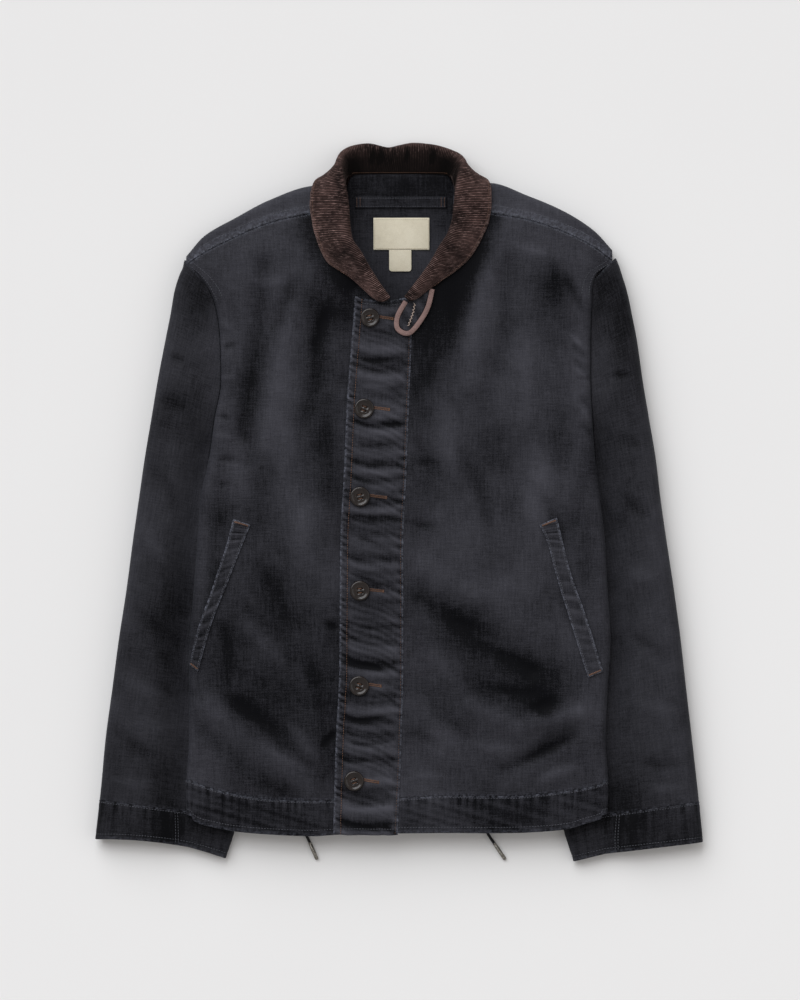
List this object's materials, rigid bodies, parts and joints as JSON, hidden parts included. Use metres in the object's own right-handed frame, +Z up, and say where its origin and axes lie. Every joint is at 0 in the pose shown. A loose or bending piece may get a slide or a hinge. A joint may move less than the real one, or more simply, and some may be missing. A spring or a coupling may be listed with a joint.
{
  "type": "deck jacket",
  "caption": "Deck jacket laid flat on its back: buttoned placket front, ribbed collar with throat tab, slanted welt pockets, cuffs and a hem band with drawcord ends.",
  "frame": {"origin": "on the floor under the middle of the jacket's outline", "axes": "+Y to the collar, +X to the wearer's left sleeve, +Z up from the floor through the front"},
  "size_m": [0.6395, 0.7559, 0.0504],
  "materials": {
    "cloth": "washed, dusty cord cloth",
    "corduroy": "fine ribbed pile",
    "binding": "flat woven tape",
    "label": "plain woven",
    "button": "polished",
    "cord": "plain braid",
    "metal": "satin"
  },
  "bodies": {
    "root": {"back": "cloth", "front_right": "cloth", "front_left": "cloth", "placket": "cloth", "hem_band": "cloth", "sleeve_right": "cloth", "sleeve_left": "cloth", "cuff_right": "cloth", "cuff_left": "cloth", "pocket_welt_right": "cloth", "pocket_welt_left": "cloth", "throat_tab": "cloth", "hanger_loop": "cloth", "collar": "corduroy", "tab_binding": "binding", "neck_label": "label", "size_tag": "label", "button_1": "button", "button_2": "button", "button_3": "button", "button_4": "button", "button_5": "button", "button_6": "button", "drawcord_right": "cord", "drawcord_left": "cord", "cord_tip_right": "metal", "cord_tip_left": "metal"}
  },
  "joints": []
}
